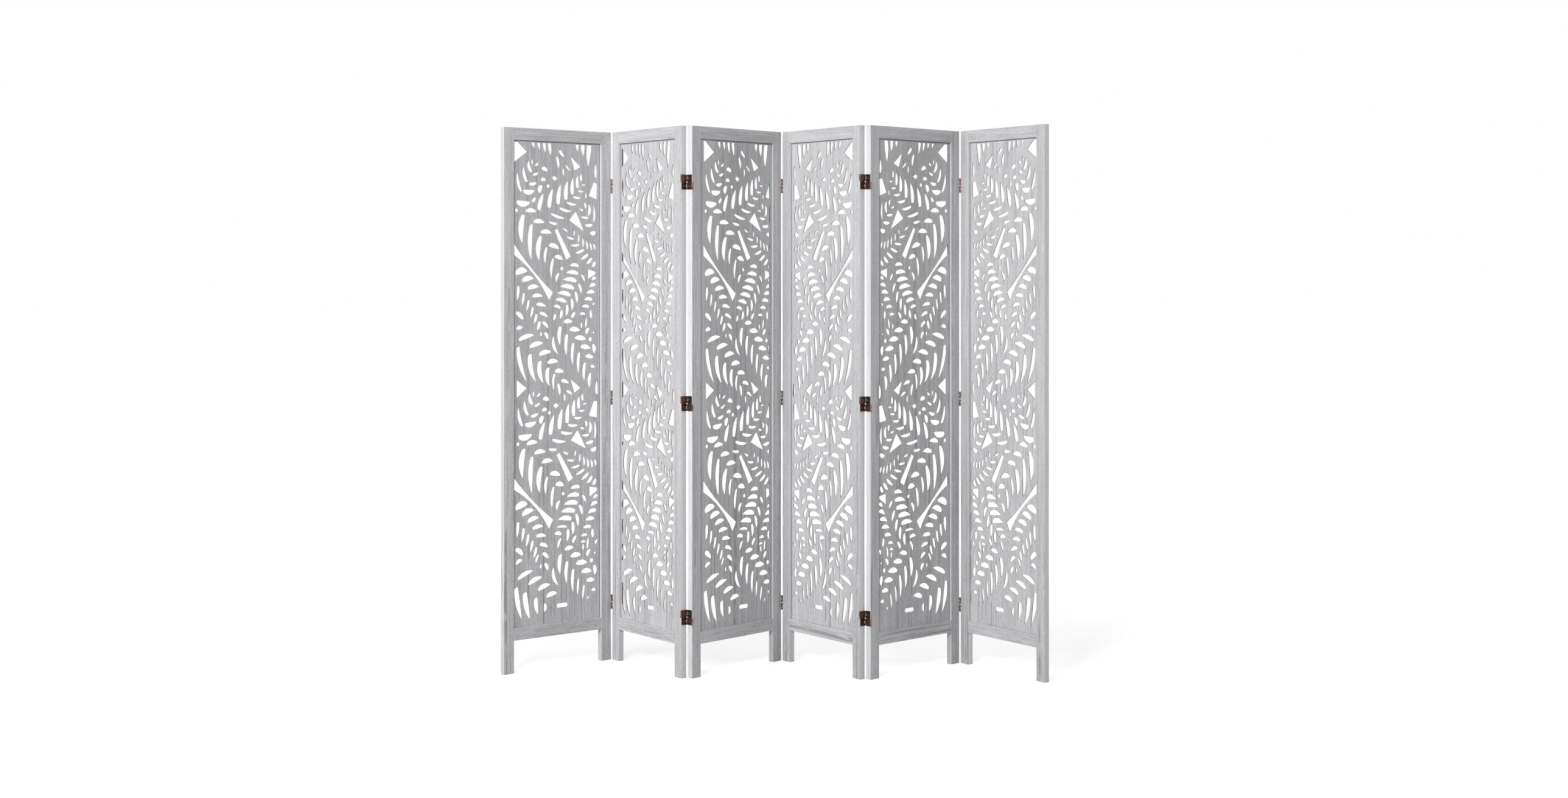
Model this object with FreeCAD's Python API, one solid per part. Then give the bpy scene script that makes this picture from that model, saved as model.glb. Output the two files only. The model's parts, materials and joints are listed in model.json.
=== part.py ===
import FreeCAD, Part
import math
import os
from FreeCAD import Vector

# Folding screen of six hinged panels, in millimetres, +Z up, front towards -Y.
# Each panel is a frame of two stiles and two rails round a thin pierced board.
# Neighbouring panels are joined by three two-way hinges.

# Frame of a panel
PANEL_WIDTH = 400.0
PANEL_HEIGHT = 1700.0
PANEL_THICKNESS = 19.0
STILE_WIDTH = 37.0
RAIL_HEIGHT = 38.0
FOOT_HEIGHT = 102.0
EDGE_ROUND = 0.8
CUT_OVERRUN = 2.0

# Board, held in a groove all round the frame
BOARD_THICKNESS = 3.0
TONGUE_DEPTH = 7.5
GROOVE_SIDE_CLEARANCE = 0.2
GROOVE_END_CLEARANCE = 0.5

# Dowels, placed up the solid part of a rail from its outer edge
DOWEL_DIAMETER = 8.0
DOWEL_LENGTH = 40.0
DOWEL_CLEARANCE = 0.1
DOWEL_END_CLEARANCE = 0.8
DOWEL_PLACE_SHARES = (0.27, 0.73)

# Two-way hinges, placed up the height of the panel
HINGE_PLACE_SHARES = (0.11, 0.497, 0.898)
HINGE_HEIGHT = 46.0
HINGE_MIDDLE_GAP = 1.6
LEAF_THICKNESS = 0.8
LINK_THICKNESS = 0.8
LEAF_CLEARANCE = 0.5
LEAF_SETBACK = 0.5
BARREL_CLEARANCE = 0.2
KNUCKLE_COUNT = 3
KNUCKLE_GAP = 0.2
PIN_DIAMETER = 2.0
PIN_CLEARANCE = 0.05
LINK_HOLE_DIAMETER = 9.0

# Countersunk wood screws of the hinges
SCREW_DIAMETER = 3.0
SCREW_HEAD_DIAMETER = 4.6
SCREW_LENGTH = 16.0
SCREW_POINT_LENGTH = 3.0
SCREW_CLEARANCE = 0.05
SCREW_RECESS_WIDTH = 0.7
SCREW_RECESS_LENGTH = 3.0
SCREW_RECESS_DEPTH = 0.5

# How the screen stands: the heading of each panel about +Z, in degrees from +X
PANEL_HEADINGS = (44.9, -47.9, 52.7, -48.0, 48.2, -49.8)
FIRST_MIRRORED_PANEL = 4

# Pierced foliage, drawn as two repeats, one above the other. Places are shares of the opening's
# width and of the repeat's height; lengths, widths and diameters are shares of the opening's
# width. Leans are degrees from +X. The lower repeat rises to the right and hangs lower at its foot,
# and each leaf has its own small shift there, across and up.
PIERCE_MARGIN = 6.0
PIERCE_WEB = 2.2
REPEAT_SHARE = 0.487
STEP_SHARE = 0.988
STEP_RISE_SHARE = 0.051
STEP_STRETCH_SHARE = 0.024
DRAWN_HEIGHT_SHARE = 2.27
PATTERN_OFFSET_SHARE = 0.003
SLOT_SPREAD_SHARE = 0.006
ROOT_BULGE_SHARE = 0.2
LEAST_KEPT_SHARE = 0.12
BARE_FOOT_SHARE = 0.024

# How far the pattern is moved across and up on the board of each panel
PATTERN_MOVES = ((0.0, 0.0), (-7.0, -12.0), (16.0, -4.0), (0.0, -7.0), (0.0, 2.0), (0.0, 2.0))

# The gap beside the crown leaf: its corners in the upper repeat, and in the lower one
CROWN_GAP_SHARES = (
    ((0.016, 1.002), (0.03, 1.002), (0.16, 0.952), (0.016, 0.907)),
    ((0.043, 0.975), (0.157, 0.933), (0.043, 0.899)),
)

# Straight-sided gaps between the leaves: the shift of the lower one, then the corners
GAP_CORNER_SHARES = (
    ((0.0, -0.003), ((0.653, 0.943), (0.772, 0.897), (0.7, 0.88))),
    ((0.003, -0.005), ((0.866, 0.773), (0.923, 0.833), (0.966, 0.827), (0.961, 0.759))),
    ((0.021, 0.012), ((0.637, 0.666), (0.705, 0.701), (0.722, 0.701), (0.817, 0.618))),
    ((0.018, 0.009), ((0.858, 0.457), (0.948, 0.445), (0.948, 0.435), (0.858, 0.414))),
    ((0.025, 0.007), ((0.471, 0.621), (0.501, 0.631), (0.66, 0.511), (0.606, 0.497))),
    ((0.015, -0.007), ((0.44, 0.847), (0.471, 0.856), (0.509, 0.844), (0.468, 0.832))),
)

# The long stem: three points along its upper side, then three back along its lower side
STEM_SHIFT_SHARES = (0.0, 0.005)
STEM_POINT_SHARES = (
    (0.01, 0.566), (0.23, 0.451), (0.455, 0.357),
    (0.407, 0.322), (0.198, 0.45), (0.01, 0.517),
)

# Round eyelets: across, up, diameter
EYELET_SHIFT_SHARES = (0.015, 0.002)
EYELET_SHARES = (
    (0.555, 0.459, 0.034),
    (0.884, 0.154, 0.04),
    (0.924, 0.182, 0.02),
    (0.397, 0.81, 0.036),
    (0.043, 0.704, 0.037),
)

# The flat slot near the foot of the board: across and up the opening, length, width
FOOT_SLOT_SHARES = (0.561, 0.035, 0.128, 0.04)

# Slots have an outline of three shares of their own width: the width of the root and of the tip,
# and the bow. Then come the shift in the lower repeat and the places: across, up, length, width,
# and the lean from root to tip. Rows of slots follow the sides of the leaves. A row has its number
# of slots, and the places of its first, middle and last slot.
LEAF_ROW_SHARES = (
    # Crown leaf, outer side
    (3, (0.75, 0.0, 0.45), (0.011, -0.006),
     (0.066, 0.826, 0.193, 0.028, 102),
     (0.133, 0.858, 0.15, 0.029, 103),
     (0.187, 0.892, 0.114, 0.03, 103)),
    # Shield leaf, upper side and lower side
    (7, (0.85, 0.0, 0.2), (0.016, 0.001),
     (0.317, 0.745, 0.168, 0.041, 71),
     (0.608, 0.798, 0.187, 0.04, 83),
     (0.779, 0.854, 0.068, 0.021, 88)),
    (6, (0.7, 0.25, -0.3), (0.015, 0.003),
     (0.509, 0.682, 0.152, 0.028, -15),
     (0.7, 0.751, 0.093, 0.024, -8),
     (0.809, 0.82, 0.04, 0.014, 2)),
    # Right-hand fan, upright slots and flat slots
    (3, (0.7, 0.1, -0.35), (0.011, 0.005),
     (0.823, 0.733, 0.055, 0.022, 109),
     (0.872, 0.715, 0.112, 0.028, 92),
     (0.929, 0.7, 0.166, 0.021, 92)),
    (4, (0.55, 0.1, 0.15), (0.009, 0.008),
     (0.78, 0.713, 0.045, 0.017, 159),
     (0.842, 0.663, 0.086, 0.028, 178),
     (0.914, 0.613, 0.062, 0.043, 182)),
    # Palm frond, left side and right side
    (7, (0.6, 0.1, 0.15), (0.005, 0.004),
     (0.592, 0.626, 0.061, 0.017, 148),
     (0.762, 0.532, 0.1, 0.027, 198),
     (0.926, 0.477, 0.055, 0.034, 230)),
    (6, (0.6, 0.1, -0.25), (0.012, 0.008),
     (0.697, 0.613, 0.06, 0.014, 86),
     (0.822, 0.567, 0.09, 0.019, 99),
     (0.931, 0.556, 0.059, 0.02, 108)),
    # Hanging leaf, flat slots and upright slots
    (7, (0.7, 0.0, -0.3), (0.01, 0.004),
     (0.695, 0.473, 0.1, 0.034, 180),
     (0.613, 0.381, 0.155, 0.043, 174),
     (0.497, 0.296, 0.078, 0.031, 170)),
    (7, (0.65, 0.1, 0.2), (0.01, 0.004),
     (0.805, 0.417, 0.077, 0.022, -62),
     (0.672, 0.303, 0.115, 0.03, -89),
     (0.47, 0.251, 0.058, 0.026, -112)),
    # Edge leaf, flat slots and upright slots
    (6, (0.6, 0.0, -0.3), (0.018, 0.004),
     (0.926, 0.415, 0.046, 0.03, 215),
     (0.873, 0.342, 0.092, 0.036, 184),
     (0.791, 0.264, 0.061, 0.025, 182)),
    (3, (0.5, 0.0, 0.1), (0.02, 0.006),
     (0.893, 0.265, 0.084, 0.026, 92),
     (0.837, 0.228, 0.106, 0.018, 82),
     (0.783, 0.216, 0.058, 0.016, 90)),
    # Low right leaf, upper side and lower side
    (6, (0.4, 0.1, 0.15), (0.012, -0.003),
     (0.627, 0.232, 0.094, 0.041, 0),
     (0.803, 0.14, 0.118, 0.047, -8),
     (0.914, 0.035, 0.047, 0.029, -10)),
    (6, (0.8, 0.1, -0.3), (0.002, 0.0),
     (0.53, 0.17, 0.177, 0.037, -91),
     (0.714, 0.07, 0.21, 0.028, -91),
     (0.878, -0.026, 0.137, 0.032, -92)),
    # Low left leaf, lower side and upper side
    (5, (0.85, 0.0, -0.5), (-0.04, -0.004),
     (0.1, 0.05, 0.35, 0.039, -73),
     (0.315, 0.015, 0.215, 0.044, -78),
     (0.463, -0.028, 0.163, 0.023, -90)),
    (7, (0.6, 0.0, 0.25), (-0.013, -0.005),
     (0.157, 0.17, 0.171, 0.042, 14),
     (0.455, 0.062, 0.115, 0.044, 2),
     (0.645, -0.074, 0.075, 0.025, -33)),
    # Fern frond, upper side and lower side
    (8, (0.7, 0.0, 0.25), (0.0, 0.003),
     (0.102, 0.447, 0.125, 0.062, 6),
     (0.305, 0.324, 0.11, 0.034, -6),
     (0.381, 0.171, 0.072, 0.03, -67)),
    (6, (0.8, 0.1, 0.1), (-0.003, -0.001),
     (0.057, 0.353, 0.136, 0.028, -95),
     (0.19, 0.286, 0.106, 0.022, -105),
     (0.288, 0.214, 0.083, 0.03, -110)),
)

# Groups of slots placed one by one: their outline, the shift in the lower repeat, then the places
SLOT_GROUP_SHARES = (
    # Crown leaf, inner side
    ((0.6, 0.2, -0.25), (0.021, -0.004), (
        (0.27, 0.901, 0.043, 0.02, 40),
        (0.256, 0.86, 0.059, 0.024, 22),
        (0.226, 0.818, 0.08, 0.031, 10),
        (0.183, 0.784, 0.115, 0.048, 4),
        (0.12, 0.735, 0.14, 0.058, 0),
    )),
    # Split leaf, its long drops and the half-moons above them
    ((0.7, 0.1, -0.35), (0.006, -0.004), (
        (0.101, 0.624, 0.265, 0.055, -92),
        (0.2, 0.569, 0.338, 0.045, -90),
        (0.294, 0.543, 0.233, 0.05, -94),
        (0.368, 0.513, 0.16, 0.027, -95),
        (0.44, 0.458, 0.193, 0.027, -95),
        (0.501, 0.42, 0.084, 0.028, -106),
    )),
    ((0.5, 0.0, 0.25), (0.012, -0.003), (
        (0.207, 0.703, 0.118, 0.042, -3),
        (0.297, 0.658, 0.122, 0.043, -4),
        (0.379, 0.614, 0.12, 0.043, -4),
        (0.47, 0.553, 0.118, 0.044, -18),
        (0.523, 0.505, 0.092, 0.042, -19),
    )),
    # Low right leaf, the swept slot at its heart
    ((0.4, 0.0, -0.7), (0.0, -0.005), (
        (0.476, 0.128, 0.18, 0.03, -71),
    )),
    # Between the crown and the shield
    ((0.7, 0.3, 0.15), (0.015, -0.008), (
        (0.218, 0.912, 0.045, 0.014, 90),
        (0.361, 0.881, 0.063, 0.037, -22),
        (0.344, 0.837, 0.05, 0.034, -5),
        (0.309, 0.799, 0.068, 0.045, 64),
        (0.509, 0.912, 0.108, 0.027, -80),
        (0.571, 0.871, 0.066, 0.017, -88),
    )),
    # Along the right-hand side
    ((0.7, 0.3, 0.15), (0.01, 0.001), (
        (0.95, 0.882, 0.123, 0.026, 90),
        (0.69, 0.261, 0.063, 0.029, 53),
        (0.853, 0.192, 0.058, 0.032, 54),
        (0.928, 0.112, 0.083, 0.036, -86),
    )),
    # Beside the stem and the fern
    ((0.7, 0.3, 0.15), (-0.004, 0.002), (
        (0.452, 0.653, 0.087, 0.025, 168),
        (0.081, 0.26, 0.095, 0.04, -42),
        (0.077, 0.209, 0.06, 0.036, 8),
        (0.319, 0.181, 0.036, 0.016, 80),
    )),
)

# Slots of the upper repeat alone, most of them hanging from the top of the board
TOP_GROUP_SHARES = ((0.9, 0.1, -0.1), (0.0, 0.0), (
    (0.23, 0.987, 0.087, 0.025, -77),
    (0.295, 0.984, 0.099, 0.023, -83),
    (0.358, 0.978, 0.125, 0.027, -84),
    (0.419, 0.972, 0.152, 0.03, -83),
    (0.735, 0.985, 0.101, 0.03, -89),
    (0.8, 0.976, 0.145, 0.038, -89),
    (0.868, 0.953, 0.247, 0.046, -94),
    (0.557, 0.949, 0.077, 0.026, -46),
    (0.63, 0.888, 0.078, 0.016, -43),
    (0.24, 0.752, 0.052, 0.028, 54),
    (0.834, 0.776, 0.05, 0.014, 90),
    (0.926, 0.305, 0.018, 0.022, -90),
))

# Slots of the lower repeat alone, where the leaves are cut short above the foot of the board
FOOT_GROUP_SHARES = (
    # Low left leaf
    ((0.9, 0.1, -0.22), (0.0, 0.0), (
        (0.064, 0.051, 0.3, 0.044, -78),
        (0.158, 0.033, 0.25, 0.047, -77),
        (0.267, 0.023, 0.15, 0.038, -81),
    )),
    ((0.6, 0.2, 0.27), (0.0, 0.0), (
        (0.362, 0.009, 0.073, 0.03, -95),
        (0.071, 0.223, 0.066, 0.036, 15),
    )),
    # Low right leaf
    ((0.7, 0.2, -0.1), (0.0, 0.0), (
        (0.741, 0.059, 0.15, 0.02, -94),
        (0.804, 0.032, 0.132, 0.02, -97),
        (0.855, 0.004, 0.033, 0.014, -128),
    )),
    # Hanging leaf, fern frond and edge leaf
    ((0.6, 0.1, -0.3), (0.0, 0.0), (
        (0.554, 0.325, 0.11, 0.021, 172),
        (0.523, 0.258, 0.092, 0.023, -111),
        (0.476, 0.25, 0.07, 0.018, -120),
        (0.271, 0.215, 0.077, 0.02, -112),
        (0.798, 0.242, 0.046, 0.02, 182),
        (0.954, 0.228, 0.04, 0.021, -110),
    )),
)

# Sizes that follow from the ones above
OPENING_WIDTH = PANEL_WIDTH - 2 * STILE_WIDTH
OPENING_BOTTOM = FOOT_HEIGHT + RAIL_HEIGHT
OPENING_TOP = PANEL_HEIGHT - RAIL_HEIGHT
OPENING_HEIGHT = OPENING_TOP - OPENING_BOTTOM
GROOVE_DEPTH = TONGUE_DEPTH + GROOVE_END_CLEARANCE
REPEAT_HEIGHT = REPEAT_SHARE * OPENING_HEIGHT
REPEAT_STEP = STEP_SHARE * REPEAT_HEIGHT
STEP_RISE = STEP_RISE_SHARE * REPEAT_HEIGHT
STEP_STRETCH = STEP_STRETCH_SHARE * REPEAT_HEIGHT
MIDDLE_PLANE = PANEL_THICKNESS / 2

# The leaves and a link lie side by side in the gap between two panels. A pin line stands as far
# out from the face as it does from the panel's edge, so a barrel clears the panel's corner.
HALF_PANEL_GAP = LEAF_THICKNESS + LEAF_CLEARANCE + LINK_THICKNESS / 2
PIN_STANDOFF = HALF_PANEL_GAP
CORNER_DISTANCE = math.hypot(HALF_PANEL_GAP, PIN_STANDOFF)
BARREL_RADIUS = CORNER_DISTANCE - BARREL_CLEARANCE
BORE_RADIUS = PIN_DIAMETER / 2 + PIN_CLEARANCE
PIN_TO_LEAF = HALF_PANEL_GAP - LEAF_THICKNESS
LEAF_INSET = math.sqrt(CORNER_DISTANCE ** 2 - PIN_TO_LEAF ** 2) - PIN_STANDOFF + LEAF_SETBACK
HALF_HINGE_HEIGHT = (HINGE_HEIGHT - HINGE_MIDDLE_GAP) / 2
KNUCKLE_LENGTH = (HALF_HINGE_HEIGHT - (KNUCKLE_COUNT - 1) * KNUCKLE_GAP) / KNUCKLE_COUNT
FRONT_PIN = -PIN_STANDOFF
REAR_PIN = PANEL_THICKNESS + PIN_STANDOFF
SCREW_HEAD_DEPTH = (SCREW_HEAD_DIAMETER - SCREW_DIAMETER) / 2

ALONG_X = Vector(1, 0, 0)
ALONG_Y = Vector(0, 1, 0)
ALONG_Z = Vector(0, 0, 1)


def block(low, high):
    """Box between two corners, given as (x, y, z)."""
    size = [far - near for near, far in zip(low, high)]
    return Part.makeBox(*size, Vector(*low))


def rod(start, direction, radius, length):
    return Part.makeCylinder(radius, length, start, direction)


def rounded_along(solid, direction):
    """Round the long edges that run along a direction."""
    edges = [edge for edge in solid.Edges if round(abs(edge.Curve.Direction.dot(direction))) == 1]
    return solid.makeFillet(EDGE_ROUND, edges)


def placed(shape, offset):
    copy = shape.copy()
    copy.translate(offset)
    return copy


# Frame

def dowel_heights():
    solid_height = RAIL_HEIGHT - GROOVE_DEPTH
    low = [FOOT_HEIGHT + share * solid_height for share in DOWEL_PLACE_SHARES]
    high = [PANEL_HEIGHT - share * solid_height for share in DOWEL_PLACE_SHARES]
    return low + high


def hinge_heights():
    return [share * PANEL_HEIGHT for share in HINGE_PLACE_SHARES]


def inner_edges():
    return [STILE_WIDTH, PANEL_WIDTH - STILE_WIDTH]


def dowel_rods(radius, length):
    """Rods across the joints between stiles and rails, centred on each joint."""
    rods = []
    for edge in inner_edges():
        for height in dowel_heights():
            rods.append(rod(Vector(edge - length / 2, MIDDLE_PLANE, height), ALONG_X, radius, length))
    return rods


def dowel_holes():
    return dowel_rods(DOWEL_DIAMETER / 2 + DOWEL_CLEARANCE, DOWEL_LENGTH + 2 * DOWEL_END_CLEARANCE)


def board_groove():
    """The space that the board's edges need in the frame."""
    half = BOARD_THICKNESS / 2 + GROOVE_SIDE_CLEARANCE
    low = (STILE_WIDTH - GROOVE_DEPTH, MIDDLE_PLANE - half, OPENING_BOTTOM - GROOVE_DEPTH)
    high = (PANEL_WIDTH - STILE_WIDTH + GROOVE_DEPTH, MIDDLE_PLANE + half, OPENING_TOP + GROOVE_DEPTH)
    return block(low, high)


def stile(left, screw_holes):
    start = 0 if left else PANEL_WIDTH - STILE_WIDTH
    solid = block((start, 0, 0), (start + STILE_WIDTH, PANEL_THICKNESS, PANEL_HEIGHT))
    solid = rounded_along(solid, ALONG_Z)
    return solid.cut([board_groove()] + dowel_holes() + screw_holes)


def rail(bottom):
    left, right = inner_edges()
    solid = block((left, 0, bottom), (right, PANEL_THICKNESS, bottom + RAIL_HEIGHT))
    solid = rounded_along(solid, ALONG_X)
    return solid.cut([board_groove()] + dowel_holes())


# Pierced board

def board_point(across, up, repeat):
    """Point of the board at a place of a repeat. Repeat 0 is the upper one and 1 the lower one."""
    step = REPEAT_STEP - across * STEP_RISE + (1 - up) ** 2 * STEP_STRETCH
    height = OPENING_TOP + (up - 1) * REPEAT_HEIGHT - repeat * step
    return Vector(STILE_WIDTH + (across + PATTERN_OFFSET_SHARE) * OPENING_WIDTH, 0, height)


def in_repeat(place, shift, repeat):
    """A place as a repeat has it: the lower one's leaves stand a little off their places."""
    return (place[0] + repeat * shift[0], place[1] + repeat * shift[1], *place[2:])


def line(start, end):
    return Part.makeLine(start, end)


def arc(start, through, end):
    return Part.Arc(start, through, end).toShape()


def slot(place, outline, repeat):
    """Leaf slot with a rounded root, two bowed sides and a pointed or cut tip."""
    across, up, length, width, lean = place
    root_share, tip_share, bow_share = outline
    along = (math.cos(math.radians(lean)), math.sin(math.radians(lean)))

    def point(forward, side):
        x = across + forward * along[0] - side * along[1]
        z = up + (forward * along[1] + side * along[0]) / DRAWN_HEIGHT_SHARE
        return board_point(x, z, repeat)

    half_length = (length + abs(along[0]) * SLOT_SPREAD_SHARE) / 2
    half_width = (width + abs(along[1]) * SLOT_SPREAD_SHARE) / 2
    half_bow = bow_share * half_width
    root = [point(-half_length, side * root_share * half_width - half_bow) for side in (1, -1)]
    tip = [point(half_length, side * tip_share * half_width - half_bow) for side in (1, -1)]
    middle = [point(0, side * half_width + half_bow) for side in (1, -1)]
    root_end = point(-half_length - 2 * ROOT_BULGE_SHARE * root_share * half_width, -half_bow)
    edges = [arc(root[0], middle[0], tip[0])]
    if tip_share > 0:
        edges.append(line(tip[0], tip[1]))
    edges.append(arc(tip[1], middle[1], root[1]))
    edges.append(arc(root[1], root_end, root[0]))
    return Part.Wire(edges)


def row_places(count, first, middle, last):
    """Places of a row's slots, on smooth curves through its first, middle and last slot."""
    places = []
    for number in range(count):
        way = number / (count - 1)
        weights = ((2 * way - 1) * (way - 1), 4 * way * (1 - way), way * (2 * way - 1))
        keys = zip(first, middle, last)
        places.append([sum(weight * value for weight, value in zip(weights, key)) for key in keys])
    return places


def group_slots(group, repeat):
    outline, shift, places = group
    return [slot(in_repeat(place, shift, repeat), outline, repeat) for place in places]


def straight_gap(corners, shift, repeat):
    points = [board_point(*in_repeat(corner, shift, repeat), repeat) for corner in corners]
    return Part.makePolygon(points + points[:1])


def stem(repeat):
    places = [in_repeat(place, STEM_SHIFT_SHARES, repeat) for place in STEM_POINT_SHARES]
    points = [board_point(*place, repeat) for place in places]
    upper = arc(*points[:3])
    lower = arc(*points[3:])
    return Part.Wire([upper, line(points[2], points[3]), lower, line(points[5], points[0])])


def eyelet(place, repeat):
    across, up, diameter = in_repeat(place, EYELET_SHIFT_SHARES, repeat)
    radius = diameter * OPENING_WIDTH / 2
    return Part.Wire(Part.makeCircle(radius, board_point(across, up, repeat), ALONG_Y))


def foot_slot():
    across_share, up_share, length_share, width_share = FOOT_SLOT_SHARES
    x = STILE_WIDTH + across_share * OPENING_WIDTH
    centre = Vector(x, 0, OPENING_BOTTOM + up_share * OPENING_HEIGHT)
    half_length = length_share * OPENING_WIDTH / 2
    radius = width_share * OPENING_WIDTH / 2
    run = Vector(half_length - radius, 0, 0)
    lift = Vector(0, 0, radius)
    reach = Vector(half_length, 0, 0)
    return Part.Wire([
        line(centre - run + lift, centre + run + lift),
        arc(centre + run + lift, centre + reach, centre + run - lift),
        line(centre + run - lift, centre - run - lift),
        arc(centre - run - lift, centre - reach, centre - run + lift),
    ])


def drawn_outlines(panel):
    """Every gap, stem, eyelet and slot of a panel's board, those that rule the layout first."""
    outlines = []
    for repeat in (0, 1):
        outlines.append(straight_gap(CROWN_GAP_SHARES[repeat], (0, 0), repeat))
        outlines += [straight_gap(corners, shift, repeat) for shift, corners in GAP_CORNER_SHARES]
        outlines.append(stem(repeat))
    outlines += group_slots(TOP_GROUP_SHARES, 0)
    for group in FOOT_GROUP_SHARES:
        outlines += group_slots(group, 1)
    for repeat in (0, 1):
        for group in SLOT_GROUP_SHARES:
            outlines += group_slots(group, repeat)
        for count, outline, shift, *keys in LEAF_ROW_SHARES:
            outlines += group_slots((outline, shift, row_places(count, *keys)), repeat)
        outlines += [eyelet(place, repeat) for place in EYELET_SHARES]
    across, up = PATTERN_MOVES[panel]
    low = placed(foot_slot(), Vector(across, 0, 0))
    return [low] + [placed(outline, Vector(across, 0, up)) for outline in outlines]


def rectangle(left, right, bottom, top):
    corners = ((left, bottom), (right, bottom), (right, top), (left, top), (left, bottom))
    return Part.makePolygon([Vector(x, 0, z) for x, z in corners])


def pierced_outlines(panel):
    """The outlines that lie in the board's window, cut at its sides, with wood left between them."""
    left = STILE_WIDTH + PIERCE_MARGIN
    right = PANEL_WIDTH - STILE_WIDTH - PIERCE_MARGIN
    bottom = OPENING_BOTTOM + PIERCE_MARGIN
    top = OPENING_TOP - PIERCE_MARGIN
    window = Part.Face(rectangle(left, right, bottom, top))
    bare_foot = OPENING_BOTTOM + BARE_FOOT_SHARE * OPENING_HEIGHT
    kept = []
    for outline in drawn_outlines(panel):
        box = outline.BoundBox
        if box.Center.z < bare_foot or box.ZMin > top:
            continue
        if box.XMin < left or box.XMax > right or box.ZMin < bottom or box.ZMax > top:
            whole = Part.Face(outline)
            inside = whole.common(window)
            if inside.Area < LEAST_KEPT_SHARE * whole.Area:
                continue
            outline = inside.Faces[0].OuterWire
        near = FreeCAD.BoundBox(outline.BoundBox)
        near.enlarge(PIERCE_WEB)
        rivals = [other for other in kept if near.intersect(other.BoundBox)]
        if all(outline.distToShape(other)[0] > PIERCE_WEB for other in rivals):
            kept.append(outline)
    return kept


def mirrored(shape):
    return shape.mirror(Vector(PANEL_WIDTH / 2, 0, 0), ALONG_X)


def pierced_board(panel):
    """A panel's board. From the first mirrored panel on, the foliage grows the other way."""
    edge = rectangle(
        STILE_WIDTH - TONGUE_DEPTH, PANEL_WIDTH - STILE_WIDTH + TONGUE_DEPTH,
        OPENING_BOTTOM - TONGUE_DEPTH, OPENING_TOP + TONGUE_DEPTH)
    sheet = Part.makeFace(Part.makeCompound([edge] + pierced_outlines(panel)), "Part::FaceMakerBullseye")
    front = Vector(0, MIDDLE_PLANE - BOARD_THICKNESS / 2, 0)
    board = placed(sheet.extrude(Vector(0, BOARD_THICKNESS, 0)), front)
    return mirrored(board) if panel + 1 >= FIRST_MIRRORED_PANEL else board


# Hinges. A hinge is drawn with its two panels flat, about the middle of the gap between them:
# the left panel's edge is at -X and the right panel's at +X. Half a turn about Y makes the
# right-hand leaf from the left-hand one, and the lower link from the upper one.

def half_turned(shape):
    copy = shape.copy()
    copy.rotate(Vector(0, 0, 0), ALONG_Y, 180)
    return copy


def knuckle_starts():
    """Lower ends of the knuckles in the upper half of a hinge: leaf, link, leaf."""
    step = KNUCKLE_LENGTH + KNUCKLE_GAP
    return [HINGE_MIDDLE_GAP / 2 + number * step for number in range(KNUCKLE_COUNT)]


def barrel(pin, start):
    return rod(Vector(0, pin, start), ALONG_Z, BARREL_RADIUS, KNUCKLE_LENGTH)


def bore(pin, start):
    length = KNUCKLE_LENGTH + 2 * CUT_OVERRUN
    return rod(Vector(0, pin, start - CUT_OVERRUN), ALONG_Z, BORE_RADIUS, length)


def leaf_knuckles(pin, root):
    """The first and last knuckle on a pin line, with the straps that join them to the leaf."""
    starts = knuckle_starts()
    solids = []
    for start in (starts[0], starts[2]):
        low = (-HALF_PANEL_GAP, min(pin, root), start)
        high = (-PIN_TO_LEAF, max(pin, root), start + KNUCKLE_LENGTH)
        strap = block(low, high)
        solids.append(strap.fuse(barrel(pin, start)).cut(bore(pin, start)))
    return solids


def left_leaf():
    half = HINGE_HEIGHT / 2
    low = (-HALF_PANEL_GAP, LEAF_INSET, -half)
    high = (-PIN_TO_LEAF, PANEL_THICKNESS - LEAF_INSET, half)
    upper = leaf_knuckles(FRONT_PIN, MIDDLE_PLANE)
    lower = leaf_knuckles(REAR_PIN, MIDDLE_PLANE)
    for solid in lower:
        solid.translate(Vector(0, 0, -HINGE_MIDDLE_GAP - HALF_HINGE_HEIGHT))
    plate = block(low, high).fuse(upper + lower)
    return plate.cut(left_screw_holes()).removeSplitter()


def upper_link():
    half = LINK_THICKNESS / 2
    starts = knuckle_starts()
    reach = BARREL_RADIUS + BARREL_CLEARANCE
    low = (-half, FRONT_PIN + reach, starts[0])
    high = (half, REAR_PIN - reach, starts[2] + KNUCKLE_LENGTH)
    strip = block((-half, FRONT_PIN, starts[1]), (half, REAR_PIN, starts[1] + KNUCKLE_LENGTH))
    solid = block(low, high).fuse([strip, barrel(FRONT_PIN, starts[1]), barrel(REAR_PIN, starts[1])])
    hole_start = Vector(-half - CUT_OVERRUN, MIDDLE_PLANE, screw_height())
    hole = rod(hole_start, ALONG_X, LINK_HOLE_DIAMETER / 2, LINK_THICKNESS + 2 * CUT_OVERRUN)
    return solid.cut([hole, bore(FRONT_PIN, starts[1]), bore(REAR_PIN, starts[1])]).removeSplitter()


def left_pins():
    """The two pins that the left leaf's knuckles hold."""
    start = knuckle_starts()[0]
    front = rod(Vector(0, FRONT_PIN, start), ALONG_Z, PIN_DIAMETER / 2, HALF_HINGE_HEIGHT)
    rear = rod(Vector(0, REAR_PIN, -start), -ALONG_Z, PIN_DIAMETER / 2, HALF_HINGE_HEIGHT)
    return [front, rear]


# Screws

def screw_height():
    """Height of the upper screw above the middle of its hinge."""
    return HINGE_MIDDLE_GAP / 2 + HALF_HINGE_HEIGHT / 2


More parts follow.
